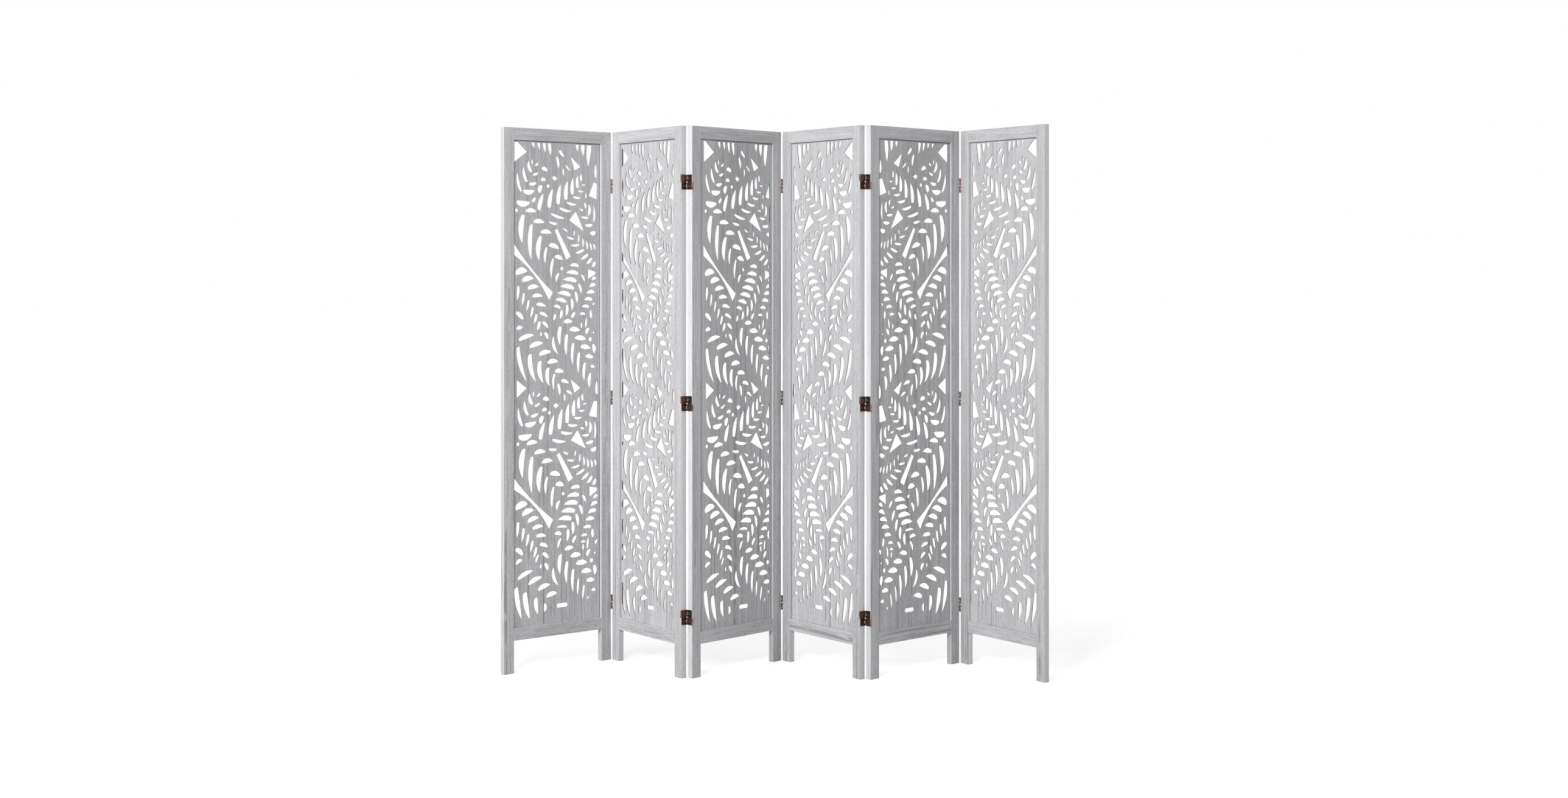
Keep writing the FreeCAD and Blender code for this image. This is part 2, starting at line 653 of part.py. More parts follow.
def screw_body(clearance):
    """Turned body of a screw that points along -X, with its head's face at X = 0."""
    head = SCREW_HEAD_DIAMETER / 2 + clearance
    shank = SCREW_DIAMETER / 2 + clearance
    end = SCREW_LENGTH + clearance
    profile = [
        Vector(0, 0, 0),
        Vector(0, 0, head),
        Vector(-SCREW_HEAD_DEPTH, 0, shank),
        Vector(SCREW_POINT_LENGTH - end, 0, shank),
        Vector(-end, 0, 0),
    ]
    return Part.Face(Part.makePolygon(profile + profile[:1])).revolve(Vector(0, 0, 0), ALONG_X, 360)


def screw_hole():
    mouth = rod(Vector(0, 0, 0), ALONG_X, SCREW_HEAD_DIAMETER / 2 + SCREW_CLEARANCE, CUT_OVERRUN)
    return screw_body(SCREW_CLEARANCE).fuse(mouth)


def screw():
    half_width = SCREW_RECESS_WIDTH / 2
    half_length = SCREW_RECESS_LENGTH / 2
    cross = [
        block((-SCREW_RECESS_DEPTH, -half_width, -half_length), (CUT_OVERRUN, half_width, half_length)),
        block((-SCREW_RECESS_DEPTH, -half_length, -half_width), (CUT_OVERRUN, half_length, half_width)),
    ]
    return screw_body(0).cut(cross)


def on_left_leaf(shape):
    """Copies of a shape at the upper and lower screw of the left leaf."""
    face = -PIN_TO_LEAF
    return [placed(shape, Vector(face, MIDDLE_PLANE, side * screw_height())) for side in (1, -1)]


def left_screws():
    return on_left_leaf(screw())


def left_screw_holes():
    return on_left_leaf(screw_hole())


# Panels

def edge_offsets(left):
    """Where the hinges of a panel's edge have their middle, in the panel's own place."""
    x = -HALF_PANEL_GAP if left else PANEL_WIDTH + HALF_PANEL_GAP
    return [Vector(x, 0, height) for height in hinge_heights()]


def edge_copies(shapes, left):
    """Copies of a left leaf's shapes for every hinge of a panel's left or right edge."""
    turned = [half_turned(shape) for shape in shapes] if left else shapes
    return [placed(shape, offset) for offset in edge_offsets(left) for shape in turned]


def folds_forward(fold):
    """Whether the panels on both sides of a fold close face to face."""
    return PANEL_HEADINGS[fold + 1] < PANEL_HEADINGS[fold]


def panel_links(panel):
    """The links that stay with a panel as its folds turn: those pinned to it off the turning line."""
    upper = upper_link()
    lower = half_turned(upper)
    links = []
    if panel > 0:
        link = upper if folds_forward(panel - 1) else lower
        links += [placed(link, offset) for offset in edge_offsets(True)]
    if panel < len(PANEL_HEADINGS) - 1:
        link = lower if folds_forward(panel) else upper
        links += [placed(link, offset) for offset in edge_offsets(False)]
    return links


def panel_pieces(panel):
    """The named pieces of a panel, each a list of solids in the panel's own place."""
    hinged = {True: panel > 0, False: panel < len(PANEL_HEADINGS) - 1}

    def edge_hinges(shapes, left):
        return edge_copies(shapes, left) if hinged[left] else []

    def hinge_copies(shapes):
        return edge_hinges(shapes, True) + edge_hinges(shapes, False)

    return {
        "left_stile": [stile(True, edge_hinges(left_screw_holes(), True))],
        "right_stile": [stile(False, edge_hinges(left_screw_holes(), False))],
        "top_rail": [rail(OPENING_TOP)],
        "bottom_rail": [rail(FOOT_HEIGHT)],
        "pierced_board": [pierced_board(panel)],
        "dowels": dowel_rods(DOWEL_DIAMETER / 2, DOWEL_LENGTH),
        "hinge_leaves": hinge_copies([left_leaf()]),
        "hinge_links": panel_links(panel),
        "hinge_pins": hinge_copies(left_pins()),
        "hinge_screws": hinge_copies(left_screws()),
    }


def panel_placements():
    """Where each panel stands, and the pin line of each fold, before the screen is centred."""
    placements = [FreeCAD.Placement(Vector(0, 0, 0), FreeCAD.Rotation(ALONG_Z, PANEL_HEADINGS[0]))]
    pin_lines = []
    for fold in range(len(PANEL_HEADINGS) - 1):
        y = FRONT_PIN if folds_forward(fold) else REAR_PIN
        pin_line = placements[fold].multVec(Vector(PANEL_WIDTH + HALF_PANEL_GAP, y, 0))
        turn = FreeCAD.Rotation(ALONG_Z, PANEL_HEADINGS[fold + 1])
        start = pin_line - turn.multVec(Vector(-HALF_PANEL_GAP, y, 0))
        placements.append(FreeCAD.Placement(start, turn))
        pin_lines.append(pin_line)
    return placements, pin_lines


def build():
    placements, pin_lines = panel_placements()
    nodes = {}
    for panel, placement in enumerate(placements):
        for name, solids in panel_pieces(panel).items():
            shape = solids[0] if len(solids) == 1 else Part.makeCompound(solids)
            nodes[f"panel_{panel + 1}_{name}"] = shape.transformed(placement.toMatrix())
    outer = [shape for name, shape in nodes.items() if not name.endswith("pierced_board")]
    box = Part.makeCompound(outer).optimalBoundingBox(False, False)
    centring = Vector(-box.Center.x, -box.Center.y, -box.ZMin)
    os.makedirs("parts", exist_ok=True)
    for name, shape in nodes.items():
        placed(shape, centring).exportStep(f"parts/{name}.step")
    print("size", round(box.XLength, 3), round(box.YLength, 3), round(box.ZLength, 3))
    for number, pin_line in enumerate(pin_lines, 1):
        line_place = pin_line + centring
        print("pin line of fold", number, round(line_place.x, 4), round(line_place.y, 4))


build()
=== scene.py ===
import json
import math

import bmesh
import bpy
from mathutils import Matrix, Vector

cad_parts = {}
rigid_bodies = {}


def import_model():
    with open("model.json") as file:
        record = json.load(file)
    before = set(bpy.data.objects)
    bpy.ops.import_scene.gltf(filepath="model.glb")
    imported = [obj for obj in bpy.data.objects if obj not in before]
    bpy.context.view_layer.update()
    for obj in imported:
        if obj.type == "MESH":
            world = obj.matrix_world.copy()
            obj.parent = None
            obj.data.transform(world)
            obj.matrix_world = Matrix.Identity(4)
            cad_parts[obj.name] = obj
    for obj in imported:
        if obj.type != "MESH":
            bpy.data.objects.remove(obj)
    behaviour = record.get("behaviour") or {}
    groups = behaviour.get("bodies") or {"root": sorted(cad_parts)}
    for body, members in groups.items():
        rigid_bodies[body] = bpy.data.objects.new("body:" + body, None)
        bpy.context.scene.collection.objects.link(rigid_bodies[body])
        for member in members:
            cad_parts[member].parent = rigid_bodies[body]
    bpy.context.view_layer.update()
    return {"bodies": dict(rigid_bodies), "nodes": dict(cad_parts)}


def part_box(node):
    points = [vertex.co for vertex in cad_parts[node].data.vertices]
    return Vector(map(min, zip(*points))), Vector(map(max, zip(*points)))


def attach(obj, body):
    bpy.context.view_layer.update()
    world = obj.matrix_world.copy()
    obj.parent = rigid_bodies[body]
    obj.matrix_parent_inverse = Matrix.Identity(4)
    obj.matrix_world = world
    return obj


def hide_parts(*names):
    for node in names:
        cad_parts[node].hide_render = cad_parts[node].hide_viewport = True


# Folding screen of six pierced panels in grey-washed wood, with bronzed two-way hinges. Metres.
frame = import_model()

PANELS = sorted(frame["bodies"])
UP = Vector((0, 0, 1))

# Meshes: how close points are merged, what counts as flat, and which edges are sharp
MERGE_DISTANCE = 0.00001
TOUCH_DISTANCE = 0.000001
FLAT_SHARE = 0.95
SHARP_TURN = math.radians(32)

# Eased edges of boards, stile ends and hinge plates
RIM_EASE = 0.0004
FOOT_EASE = 0.0007
FOOT_STEPS = 2
HINGE_EASE = 0.00015

# Hinge barrels: how far from the middle of a panel's thickness they start, and how far they rub bare
BARREL_START = 0.0096
BARREL_RUB = 0.45

# Slot rims: points this close are left out, and turns or uneven runs over these are corners
SHORTEST_RUN = 0.0007
CORNER_TURN = math.radians(26)
UNEVEN_RUNS = 3.0
OUTLINE_STEPS = 3

# Grain: how many wooden pieces a panel has, and the step from one piece's wood to the next
WOODEN_PIECES = 5
GRAIN_STEP = Vector((0.731, 0.417, 1.193))

# Patterns in the wood, as cells a metre across the grain, cells a metre along it, and detail
DRIFT = (11.0, 2.6, 1.0)
CLOUD = (14.0, 3.0, 2.0)
BAND = (75.0, 0.8, 2.0)
FIBRE = (480.0, 10.0, 2.0)
SPECK = (330.0, 120.0, 1.0)
PORE = (520.0, 60.0, 1.0)
WALL_STREAK = (260.0, 70.0, 2.0)
LINE_CELLS_ALONG = 0.5
BREAK_CELLS_ALONG = 20.0

# Where in the range of a pattern a finish changes
LINE_RANGE = (0.012, 0.035)
BREAK_RANGE = (0.36, 0.52)
PORE_RANGE = (0.60, 0.72)
WASH_RANGE = (0.46, 0.79)
WORN_RANGE = (0.35, 0.6)
WALL_STREAK_RANGE = (0.35, 0.7)
PATINA_RANGE = (0.62, 0.82)
RUB_RANGE = (0.3, 0.55)
NOISE_MIDDLE = 0.5

# How far each thing shows in the wood
FIBRE_SHARE = 0.5
BAND_SHARE = 0.25
CLOUD_SHARE = 0.2
SPECK_SHARE = 0.3
PORE_SHARE = 0.7
SUNK_SHARE = 0.75
# Worn eased edges, and side faces painted paler as painted side light: how far they pale
WORN_AND_SIDE_LIT_SHARE = 0.5
# Painted shade in the board's corner along the frame: how dark it shows, and how far in it fades out
PAINTED_FRAME_SHADE_SHARE = 0.85
PAINTED_FRAME_SHADE_WIDTH = 0.005

# Wash: thinnest below one height, thickest above the other, and how far the grain still shows there
THIN_WASH_HEIGHT = 0.1
FULL_WASH_HEIGHT = 1.4
FULL_WASH_BARE = 0.4

# Surfaces: roughness from low to high, and bumps as depth and strength
WOOD_ROUGHNESS = (0.55, 0.78)
CUT_ROUGHNESS = 0.8
BRONZE_ROUGHNESS = (0.28, 0.55)
BRONZE_METALLIC = 0.6
WOOD_BUMP = (0.0002, 0.4)
BRONZE_BUMP = (0.00008, 0.25)
MOTTLE_CELLS = 420.0
MOTTLE_DETAIL = 4.0
RUB_CELLS = 150.0
RUB_DETAIL = 2.0

# Colours, as linear red, green and blue
WASH_PALE = (0.71, 0.707, 0.725, 1.0)
WASH_DEEP = (0.485, 0.481, 0.497, 1.0)
PORE_GREY = (0.25, 0.242, 0.255, 1.0)
# Pale grey of worn eased edges, and painted side light on side faces
WORN_AND_SIDE_LIT_PALE = (0.86, 0.857, 0.872, 1.0)
# Painted shade in the board's corner along the frame
PAINTED_FRAME_SHADE_GREY = (0.12, 0.115, 0.12, 1.0)
# Slot walls, far darker than the board's faces
CUT_PALE = (0.21, 0.202, 0.202, 1.0)
CUT_DEEP = (0.09, 0.084, 0.083, 1.0)
BRONZE_DARK = (0.03, 0.015, 0.012, 1.0)
BRONZE_BROWN = (0.16, 0.075, 0.052, 1.0)
COPPER_WORN = (0.52, 0.27, 0.19, 1.0)
FLOOR_WHITE = (0.62, 0.62, 0.62, 1.0)
WHITE = (1.0, 1.0, 1.0, 1.0)

# Room: the floor looks whiter from the near distance to the far one, and the air gives little light
FLOOR_HALF = 60.0
FLOOR_ROUGHNESS = 0.9
FLOOR_NEAR = 1.0
FLOOR_FAR = 4.0
NEAR_GLOW = 0.64
FAR_GLOW = 0.36
AIR_LIGHT = 0.015

# Lamps: place, width and power in watts
LAMP_TARGET = Vector((0.0, 0.0, 0.9))
LAMPS = {
    "front_lamp": ((-1.1, -6.2, 3.7), 1.2, 192.0),
    "left_lamp": ((-3.9, -4.8, 2.6), 2.0, 197.0),
    "right_lamp": ((8.4, -1.2, 2.4), 3.6, 148.0),
    "back_lamp": ((0.6, 4.8, 3.0), 3.0, 110.0),
}

# Camera: lens and sensor in millimetres, and shift as shares of the picture's width
LENS_LENGTH = 47.44
SENSOR_WIDTH = 36.0
SHIFT_ACROSS = -0.0344
SHIFT_UP = -0.0794
CAMERA_PLACE = (0.6675, -6.4646, 1.2421)
CAMERA_TURN = math.radians(4.2)


# Shader nodes

def node(tree, kind, inputs=None, **settings):
    """A shader node with its settings. Inputs are linked from a socket or set to a value."""
    made = tree.nodes.new("ShaderNode" + kind)
    for name, value in settings.items():
        setattr(made, name, value)
    for socket, value in (inputs or {}).items():
        if isinstance(value, bpy.types.NodeSocket):
            tree.links.new(value, made.inputs[socket])
        else:
            made.inputs[socket].default_value = value
    return made


def maths(tree, operation, first, second):
    return node(tree, "Math", {0: first, 1: second}, operation=operation).outputs[0]


def times(tree, first, second):
    return maths(tree, "MULTIPLY", first, second)


def between(tree, value, low, high):
    """0 where the value is under low, 1 where it is over high, and smooth from one to the other."""
    inputs = {"Value": value, "From Min": low, "From Max": high}
    return node(tree, "MapRange", inputs, interpolation_type="SMOOTHSTEP").outputs["Result"]


def spread(tree, value, low, high):
    """From low where the value is 0 to high where it is 1."""
    return node(tree, "MapRange", {"Value": value, "To Min": low, "To Max": high}).outputs["Result"]


def coloured(tree, share, first, second):
    return node(tree, "Mix", {0: share, 6: first, 7: second}, data_type="RGBA").outputs[2]


def streaks(tree, place, across, along, detail):
    """Noise drawn out along the grain, with so many cells a metre across it and along it."""
    drawn_out = node(tree, "Mapping", {"Vector": place, "Scale": (across, across, along)}).outputs[0]
    return node(tree, "TexNoise", {"Vector": drawn_out, "Scale": 1.0, "Detail": detail}).outputs[0]


def blotches(tree, place, cells, detail):
    return node(tree, "TexNoise", {"Vector": place, "Scale": cells, "Detail": detail}).outputs[0]


def kept_share(tree, name):
    """A number that a mesh keeps for each of its faces."""
    return node(tree, "Attribute", attribute_name=name).outputs["Fac"]


def kept_place(tree, name):
    """A place that a mesh keeps for each of its points."""
    return node(tree, "Attribute", attribute_name=name).outputs["Vector"]


def blank(name):
    material = bpy.data.materials.new(name)
    material.use_nodes = True
    return material, material.node_tree, material.node_tree.nodes["Principled BSDF"]


def raised(tree, shader, height, distance, strength):
    bump = node(tree, "Bump", {"Height": height, "Distance": distance, "Strength": strength})
    tree.links.new(bump.outputs[0], shader.inputs["Normal"])


# Finishes

def swaying_grain(tree, sway):
    """The grain's place, with its lines swaying gently along the piece."""
    grain = kept_place(tree, "grain")
    drift = times(tree, streaks(tree, grain, *DRIFT), sway)
    shift = node(tree, "CombineXYZ", {0: drift}).outputs[0]
    return node(tree, "VectorMath", {0: grain, 1: shift}, operation="ADD").outputs[0]


def grain_lines(tree, place, waves):
    """Thin broken lines along the grain, two for each wave of the wood across it."""
    wave = maths(tree, "SUBTRACT", streaks(tree, place, waves, LINE_CELLS_ALONG, 0.0), NOISE_MIDDLE)
    beside = between(tree, maths(tree, "ABSOLUTE", wave, 0.0), *LINE_RANGE)
    line = maths(tree, "SUBTRACT", 1.0, beside)
    broken = between(tree, streaks(tree, place, waves, BREAK_CELLS_ALONG, 1.0), *BREAK_RANGE)
    return times(tree, line, broken)


def bare_share(tree):
    """How far the grain shows through the wash, which lies thinnest towards the foot."""
    place = node(tree, "TexCoord").outputs["Object"]
    height = node(tree, "SeparateXYZ", {0: place}).outputs["Z"]
    inputs = {"Value": height, "From Min": THIN_WASH_HEIGHT, "From Max": FULL_WASH_HEIGHT,
              "To Min": 1.0, "To Max": FULL_WASH_BARE}
    return node(tree, "MapRange", inputs).outputs["Result"]


def sunk_share(tree, place, waves):
    """How far the wood lies open in its grain lines and pores."""
    pore = between(tree, streaks(tree, place, *PORE), *PORE_RANGE)
    deepest = maths(tree, "MAXIMUM", grain_lines(tree, place, waves), times(tree, pore, PORE_SHARE))
    return times(tree, deepest, bare_share(tree))


def wash_depth(tree, place, fibre, cloud):
    """How deep the wash looks, from the wood's fibres, bands, clouds and specks."""
    depth = times(tree, fibre, FIBRE_SHARE)
    depth = maths(tree, "ADD", depth, times(tree, streaks(tree, place, *BAND), BAND_SHARE))
    depth = maths(tree, "ADD", depth, times(tree, cloud, CLOUD_SHARE))
    return maths(tree, "ADD", depth, times(tree, streaks(tree, place, *SPECK), SPECK_SHARE))


def painted_frame_shade_share(tree):
    """Painted shade along the frame: 1 in the board's corner along the frame, and 0 farther in."""
    inside = node(tree, "SeparateXYZ", {0: kept_place(tree, "inside")})
    nearest = maths(tree, "MINIMUM", inside.outputs["X"], inside.outputs["Y"])
    nearest = maths(tree, "MINIMUM", nearest, inside.outputs["Z"])
    return maths(tree, "SUBTRACT", 1.0, between(tree, nearest, 0.0, PAINTED_FRAME_SHADE_WIDTH))


def washed_wood(name, waves, sway, with_painted_frame_shade=False):
    """Fine-grained wood under a thin grey-white wash that sinks into its pores, with side faces painted
    paler as painted side light, and on a framed board painted shade in its corner along the frame.
    """
    material, tree, shader = blank(name)
    place = swaying_grain(tree, sway)
    cloud = streaks(tree, place, *CLOUD)
    fibre = streaks(tree, place, *FIBRE)
    sunk = sunk_share(tree, place, waves)
    depth = wash_depth(tree, place, fibre, cloud)
    wash = coloured(tree, between(tree, depth, *WASH_RANGE), WASH_PALE, WASH_DEEP)
    pored = coloured(tree, times(tree, sunk, SUNK_SHARE), wash, PORE_GREY)
    worn = times(tree, kept_share(tree, "eased"), between(tree, cloud, *WORN_RANGE))
    # Worn eased edges, and side faces painted paler as painted side light
    worn_and_side_lit = maths(tree, "MAXIMUM", worn, kept_share(tree, "worn_and_side_lit"))
    colour = coloured(tree, times(tree, worn_and_side_lit, WORN_AND_SIDE_LIT_SHARE), pored, WORN_AND_SIDE_LIT_PALE)
    # Painted shade in the board's corner along the frame
    if with_painted_frame_shade:
        colour = coloured(tree, times(tree, painted_frame_shade_share(tree), PAINTED_FRAME_SHADE_SHARE), colour, PAINTED_FRAME_SHADE_GREY)
    tree.links.new(colour, shader.inputs["Base Color"])
    tree.links.new(spread(tree, fibre, *WOOD_ROUGHNESS), shader.inputs["Roughness"])
    height = maths(tree, "SUBTRACT", times(tree, fibre, FIBRE_SHARE), sunk)
    raised(tree, shader, height, *WOOD_BUMP)
    return material


def cut_wall():
    """The wall of a sawn slot, lightly washed, far darker than the board's faces, in streaks from pale to
    deep grey.
    """
    material, tree, shader = blank("cut_wall")
    wall_streak = streaks(tree, kept_place(tree, "grain"), *WALL_STREAK)
    colour = coloured(tree, between(tree, wall_streak, *WALL_STREAK_RANGE), CUT_PALE, CUT_DEEP)
    tree.links.new(colour, shader.inputs["Base Color"])
    shader.inputs["Roughness"].default_value = CUT_ROUGHNESS
    raised(tree, shader, wall_streak, *WOOD_BUMP)
    return material


def bronzed_steel(name, brown_share):
    """Dark bronzed plate that has rubbed to copper along its edges."""
    material, tree, shader = blank(name)
    place = node(tree, "TexCoord").outputs["Object"]
    mottle = blotches(tree, place, MOTTLE_CELLS, MOTTLE_DETAIL)
    rub = blotches(tree, place, RUB_CELLS, RUB_DETAIL)
    patina = between(tree, mottle, PATINA_RANGE[0] - brown_share, PATINA_RANGE[1] - brown_share)
    plate = coloured(tree, patina, BRONZE_DARK, BRONZE_BROWN)
    worn = times(tree, kept_share(tree, "eased"), between(tree, rub, *RUB_RANGE))
    tree.links.new(coloured(tree, worn, plate, COPPER_WORN), shader.inputs["Base Color"])
    tree.links.new(spread(tree, mottle, *BRONZE_ROUGHNESS), shader.inputs["Roughness"])
    shader.inputs["Metallic"].default_value = BRONZE_METALLIC
    raised(tree, shader, mottle, *BRONZE_BUMP)
    return material


# Wooden pieces

def middle_of(cad_node):
    low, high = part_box(cad_node)
    return (low + high) / 2


def panel_place(panel):
    """From a panel's own place to the room: X across it, Y from its front to its back, Z up."""
    left = middle_of(f"{panel}_left_stile")
    right = middle_of(f"{panel}_right_stile")
    across = (right - left).normalized()
    place = Matrix((across, UP.cross(across), UP)).transposed().to_4x4()
    place.translation = (left + right) / 2
    return place


def merged_copy(cad_node, place):
    """Mesh of a node in its panel's own place, with its loose triangles joined."""
    mesh = bmesh.new()
    mesh.from_mesh(frame["nodes"][cad_node].data)
    bmesh.ops.remove_doubles(mesh, verts=mesh.verts, dist=MERGE_DISTANCE)
    bmesh.ops.transform(mesh, matrix=place.inverted(), verts=mesh.verts)
    mesh.normal_update()
    return mesh


def mark_wood(mesh, number, upright):
    """Keep the place along and across the grain, which faces are eased edges, and which are side faces
    painted paler as painted side light.
    """
    grain = mesh.verts.layers.float_vector.new("grain")
    eased = mesh.faces.layers.float.new("eased")
    worn_and_side_lit = mesh.faces.layers.float.new("worn_and_side_lit")
    for vert in mesh.verts:
        across, through, up = vert.co
        along = (across, through, up) if upright else (up, through, across)
        vert[grain] = Vector(along) + number * GRAIN_STEP
    for face in mesh.faces:
        face[eased] = 0.0 if max(abs(part) for part in face.normal) > FLAT_SHARE else 1.0
        # Side faces are painted paler, as painted light from the sides
        face[worn_and_side_lit] = 1.0 if abs(face.normal.x) > FLAT_SHARE else 0.0


def mark_sharp_edges(mesh):
    for face in mesh.faces:
        face.smooth = True
    for edge in mesh.edges:
        edge.smooth = len(edge.link_faces) == 2 and edge.calc_face_angle() < SHARP_TURN


def finished_piece(name, mesh, place, panel, cad_node, materials):
    """Stand a piece in the room, on its panel, in place of its CAD node."""
    mark_sharp_edges(mesh)
    bmesh.ops.transform(mesh, matrix=place, verts=mesh.verts)
    data = bpy.data.meshes.new(name)
    mesh.to_mesh(data)
    mesh.free()
    for material in materials:
        data.materials.append(material)
    piece = bpy.data.objects.new(name, data)
    bpy.context.scene.collection.objects.link(piece)
    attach(piece, panel)
    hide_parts(cad_node)


def ease_ends(stile):
    """Ease the sharp edges round both ends of a stile."""
    low = min(vert.co.z for vert in stile.verts)
    high = max(vert.co.z for vert in stile.verts)
    rims = []
    for edge in stile.edges:
        from_end = max(min(vert.co.z - low, high - vert.co.z) for vert in edge.verts)
        if from_end < MERGE_DISTANCE and edge.calc_face_angle() > SHARP_TURN:
            rims.append(edge)
    bmesh.ops.bevel(stile, geom=rims, offset=FOOT_EASE, offset_type="OFFSET", affect="EDGES",
                    segments=FOOT_STEPS, profile=0.5, material=-1)
    stile.normal_update()


def front_rims(mesh):
    """Closed chains of points along the front rims of a board, with the wood on their left."""
    follow = {}
    for face in mesh.faces:
        if face.normal.y < -FLAT_SHARE:
            for corner in face.loops:
                if corner.link_loop_radial_next.face.normal.y > -FLAT_SHARE:
                    follow[corner.vert] = corner.link_loop_next.vert
    chains = []
    while follow:
        first, vert = follow.popitem()
        chain = [first.co.copy()]
        while vert is not first:
            chain.append(vert.co.copy())
            vert = follow.pop(vert)
        chains.append(chain)
    return chains


def spaced(chain):
    """A rim's points without those that would fold when its edge is eased."""
    kept = [chain[0]]
    for point in chain[1:]:
        if min((point - kept[-1]).length, (point - chain[0]).length) > SHORTEST_RUN:
            kept.append(point)
    return kept


def draw_outline(curve, chain):
    """Add a rim to a flat curve, smooth but for the corners of its slot."""
    spline = curve.splines.new("BEZIER")
    spline.bezier_points.add(len(chain) - 1)
    spline.use_cyclic_u = True
    for number, point in enumerate(spline.bezier_points):
        here = chain[number]
        back = here - chain[number - 1]
        ahead = chain[(number + 1) % len(chain)] - here
        uneven = max(back.length, ahead.length) > UNEVEN_RUNS * min(back.length, ahead.length)
        corner = back.angle(ahead) > CORNER_TURN or uneven
        point.co = (here.x, here.z, 0)
        point.handle_left_type = "VECTOR" if corner else "AUTO"
        point.handle_right_type = point.handle_left_type


def even_out_sides(board, half):
    """Swap the triangles of a board's front and back for ones of more even shape."""
    sides = [face for face in board.faces
             if min(abs(vert.co.y) for vert in face.verts) > half - TOUCH_DISTANCE]
    inner = set(sides)
    links = [edge for edge in board.edges if all(face in inner for face in edge.link_faces)]
    bmesh.ops.beautify_fill(board, faces=sides, edges=links, method="ANGLE")
    board.normal_update()


def filled_outline(chains, half):
    """Flat curve through the rims, filled between them, so thick and with eased edges."""
    curve = bpy.data.curves.new("board_outline", "CURVE")
    curve.dimensions = "2D"
    curve.fill_mode = "BOTH"
    curve.resolution_u = OUTLINE_STEPS
    curve.bevel_depth = RIM_EASE
    curve.bevel_resolution = 0
    curve.offset = -RIM_EASE
    curve.extrude = half - RIM_EASE
    for chain in chains:
        draw_outline(curve, spaced(chain))
    return bpy.data.objects.new("board_outline", curve)


def sawn_board(rough):
    """The board of the same outline and thickness, with smooth slots and eased rims."""
    depths = [vert.co.y for vert in rough.verts]
    half = (max(depths) - min(depths)) / 2
    drawing = filled_outline(front_rims(rough), half)
    flat = bpy.data.meshes.new_from_object(drawing)
    board = bmesh.new()
    board.from_mesh(flat)
    bpy.data.objects.remove(drawing)
    bpy.data.meshes.remove(flat)
    bmesh.ops.remove_doubles(board, verts=board.verts, dist=TOUCH_DISTANCE)
    bmesh.ops.recalc_face_normals(board, faces=board.faces)
    bmesh.ops.transform(board, matrix=Matrix.Rotation(math.pi / 2, 4, "X"), verts=board.verts)
    even_out_sides(board, half)
    return board


def mark_painted_frame_shade(board, left, right, top):
    """Keep how far each point of a board lies inside the frame, from the left, the right and the top, for
    the painted shade along the frame.
    """
    inside = board.verts.layers.float_vector.new("inside")
    for vert in board.verts:
        vert[inside] = (vert.co.x - left, right - vert.co.x, top - vert.co.z)


def mark_cut_walls(board):
    for face in board.faces:
        face.material_index = 1 if abs(face.normal.y) < 1 - FLAT_SHARE else 0


def dress_board(panel, place, number, opening, finishes):
    """Saw a panel's board for an opening with these left, right and top sides."""
    rough = merged_copy(f"{panel}_pierced_board", place)
    board = sawn_board(rough)
    rough.free()
    mark_wood(board, number, True)
    mark_cut_walls(board)
    # Keep where the painted shade along the frame falls
    mark_painted_frame_shade(board, *opening)
    board_finishes = [finishes["board"], finishes["cut wall"]]
    finished_piece(f"{panel}_board_wood", board, place, panel, f"{panel}_pierced_board", board_finishes)


def dress_panel(panel, first_number, finishes):
    place = panel_place(panel)
    bars = {}
    for side in ("left_stile", "right_stile", "top_rail", "bottom_rail"):
        bars[side] = merged_copy(f"{panel}_{side}", place)
    left = max(vert.co.x for vert in bars["left_stile"].verts)
    right = min(vert.co.x for vert in bars["right_stile"].verts)
    top = min(vert.co.z for vert in bars["top_rail"].verts)
    for count, (side, bar) in enumerate(bars.items()):
        upright = side.endswith("stile")
        if upright:
            ease_ends(bar)
        mark_wood(bar, first_number + count, upright)
        finish = finishes["stile" if upright else "rail"]
        finished_piece(f"{panel}_{side}_wood", bar, place, panel, f"{panel}_{side}", [finish])
    dress_board(panel, place, first_number + len(bars), (left, right, top), finishes)


# Hinges

def ease_plates(mesh):
    """Ease the outer edges of hinge plates, and keep where they rub: there and round the barrels."""
    eased = mesh.faces.layers.float.new("eased")
    for face in mesh.faces:
        face[eased] = BARREL_RUB if abs(face.calc_center_median().y) > BARREL_START else 0.0
    rims = [edge for edge in mesh.edges if edge.is_manifold and edge.calc_face_angle_signed() > SHARP_TURN]
    bevel = bmesh.ops.bevel(mesh, geom=rims, offset=HINGE_EASE, offset_type="OFFSET", affect="EDGES",
                            segments=1, profile=0.5, material=-1)
    for face in bevel["faces"]:
        face[eased] = 1.0
    mesh.normal_update()


def dress_hinges(panel, finishes):
    place = panel_place(panel)
    for kind, finish in (("hinge_leaves", "leaf"), ("hinge_links", "link")):
        plates = merged_copy(f"{panel}_{kind}", place)
        ease_plates(plates)
        finished_piece(f"{panel}_{kind}_metal", plates, place, panel, f"{panel}_{kind}", [finishes[finish]])
    for kind, finish in (("hinge_pins", "pin"), ("hinge_screws", "screw"), ("dowels", "stile")):
        frame["nodes"][f"{panel}_{kind}"].material_slots[0].material = finishes[finish]


# Room, light and camera

def seen_share(tree):
    """1 for what the eye sees directly or in a shiny or clear surface, else 0."""
    path = node(tree, "LightPath")
    shiny = maths(tree, "MAXIMUM", path.outputs["Is Glossy Ray"], path.outputs["Is Transmission Ray"])
    return maths(tree, "MAXIMUM", path.outputs["Is Camera Ray"], shiny)


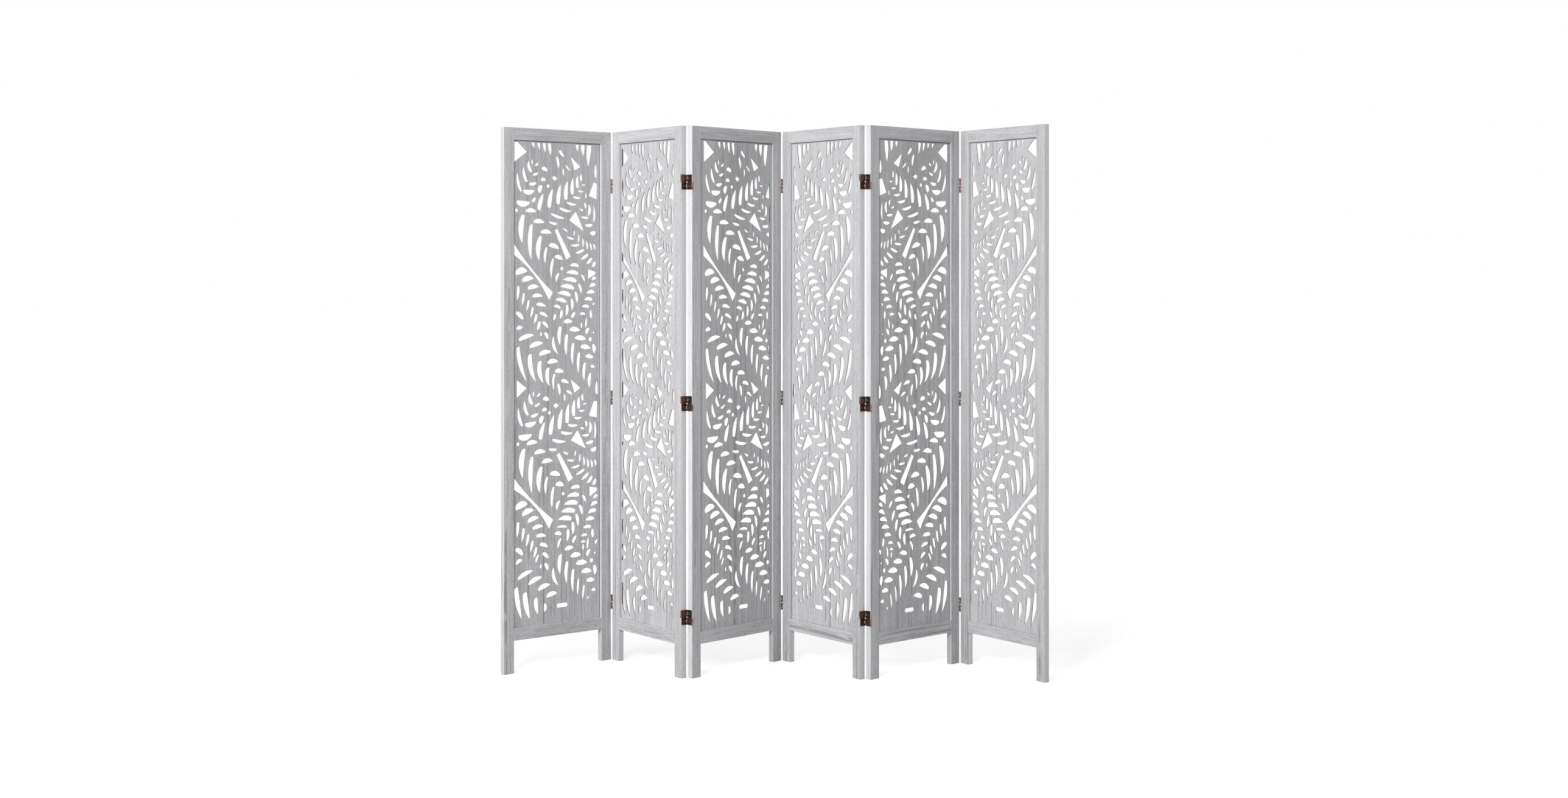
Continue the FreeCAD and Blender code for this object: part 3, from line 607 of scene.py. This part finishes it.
def floor_paint():
    """Pale paint that looks white, and whiter far from the screen than in its shadow."""
    material, tree, shader = blank("floor_paint")
    shader.inputs["Base Color"].default_value = FLOOR_WHITE
    shader.inputs["Roughness"].default_value = FLOOR_ROUGHNESS
    shader.inputs["Emission Color"].default_value = WHITE
    place = node(tree, "TexCoord").outputs["Object"]
    distance = node(tree, "VectorMath", {0: place}, operation="LENGTH").outputs["Value"]
    far = times(tree, between(tree, distance, FLOOR_NEAR, FLOOR_FAR), FAR_GLOW)
    glow = times(tree, seen_share(tree), maths(tree, "ADD", far, NEAR_GLOW))
    tree.links.new(glow, shader.inputs["Emission Strength"])
    return material


def pale_floor():
    mesh = bmesh.new()
    bmesh.ops.create_grid(mesh, x_segments=1, y_segments=1, size=FLOOR_HALF)
    data = bpy.data.meshes.new("floor")
    mesh.to_mesh(data)
    mesh.free()
    data.materials.append(floor_paint())
    floor = bpy.data.objects.new("floor", data)
    bpy.context.scene.collection.objects.link(floor)


def studio_air():
    """Dim even light all round that looks white."""
    world = bpy.data.worlds.new("studio_air")
    bpy.context.scene.world = world
    world.use_nodes = True
    tree = world.node_tree
    background = tree.nodes["Background"]
    background.inputs["Color"].default_value = WHITE
    tree.links.new(spread(tree, seen_share(tree), AIR_LIGHT, 1.0), background.inputs["Strength"])


def soft_lamp(name, place, size, power):
    lamp = bpy.data.lights.new(name, "AREA")
    lamp.shape = "DISK"
    lamp.size = size
    lamp.energy = power
    holder = bpy.data.objects.new(name, lamp)
    holder.location = place
    holder.rotation_euler = (LAMP_TARGET - Vector(place)).to_track_quat("-Z", "Y").to_euler()
    holder.visible_camera = False
    bpy.context.scene.collection.objects.link(holder)


def level_camera():
    """The photograph's view: level, from chest height, to the right of the screen's middle."""
    lens = bpy.data.cameras.new("camera")
    lens.sensor_width = SENSOR_WIDTH
    lens.lens = LENS_LENGTH
    lens.shift_x = SHIFT_ACROSS
    lens.shift_y = SHIFT_UP
    camera = bpy.data.objects.new("camera", lens)
    camera.location = CAMERA_PLACE
    camera.rotation_euler = (math.pi / 2, 0, CAMERA_TURN)
    bpy.context.scene.collection.objects.link(camera)
    bpy.context.scene.camera = camera


# The wood's waves a metre and sway in metres, and how brown each metal piece is
finishes = {
    "stile": washed_wood("stile_wash", 85.0, 0.010),
    "rail": washed_wood("rail_wash", 130.0, 0.022),
    # The board's wash has painted shade in its corner along the frame
    "board": washed_wood("board_wash", 62.0, 0.003, with_painted_frame_shade=True),
    "cut wall": cut_wall(),
    "leaf": bronzed_steel("hinge_leaf_bronze", 0.04),
    "link": bronzed_steel("hinge_link_bronze", 0.10),
    "pin": bronzed_steel("hinge_pin_bronze", 0.24),
    "screw": bronzed_steel("hinge_screw_bronze", 0.28),
}
for number, panel in enumerate(PANELS):
    dress_panel(panel, WOODEN_PIECES * number, finishes)
    dress_hinges(panel, finishes)
pale_floor()
studio_air()
for name, (place, size, power) in LAMPS.items():
    soft_lamp(name, place, size, power)
level_camera()
bpy.context.scene.view_settings.view_transform = "Standard"
